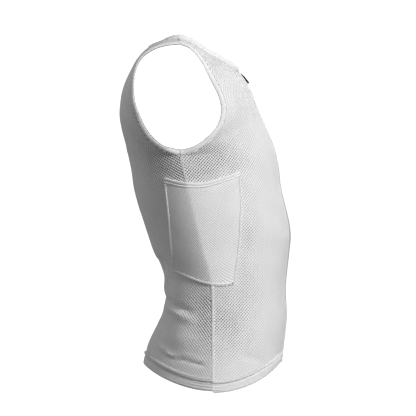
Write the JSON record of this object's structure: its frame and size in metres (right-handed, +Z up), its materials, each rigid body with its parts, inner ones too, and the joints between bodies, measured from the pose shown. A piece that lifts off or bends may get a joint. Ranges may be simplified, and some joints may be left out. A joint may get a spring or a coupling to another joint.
{
  "type": "cooling vest",
  "caption": "Sleeveless front-zip vest of open eyelet mesh, in its hollow worn shape, with a bound neck and armholes, side patch pockets and a turned hem.",
  "frame": {"origin": "in the middle of the neck opening, level with the top of its binding at the shoulder seams, between the shoulders that carry the vest", "axes": "+Z up along the worn vest, -Y to its zipped front, -X to the wearer's right side"},
  "size_m": [0.352, 0.305, 0.6364],
  "materials": {
    "mesh": "white eyelet mesh, matte",
    "pocket": "finer white mesh, slightly sheer",
    "trim": "smooth white knitted binding",
    "zip_tape": "woven pale grey zip tape",
    "zip_coil": "moulded pale grey coil",
    "zip_hardware": "black, satin"
  },
  "bodies": {
    "vest": {"front_right": "mesh", "front_left": "mesh", "back": "mesh", "neck_binding": "trim", "armhole_binding_right": "trim", "armhole_binding_left": "trim", "hem_band_back": "trim", "hem_band_front_right": "trim", "hem_band_front_left": "trim", "pocket_right": "pocket", "pocket_left": "pocket", "pocket_binding_right": "trim", "pocket_binding_left": "trim", "zip_tape_right": "zip_tape", "zip_tape_left": "zip_tape", "zip_teeth": "zip_coil", "zip_slider": "zip_hardware"},
    "pull_tab": {"zip_pull_tab": "zip_hardware"}
  },
  "joints": [
    {"name": "pull_tab_hinge", "type": "hinge", "parent": "vest", "child": "pull_tab", "pos_m": [0, -0.11418, -0.07043], "axis": [-1, 0, 0], "range_deg": [0, 140]}
  ]
}
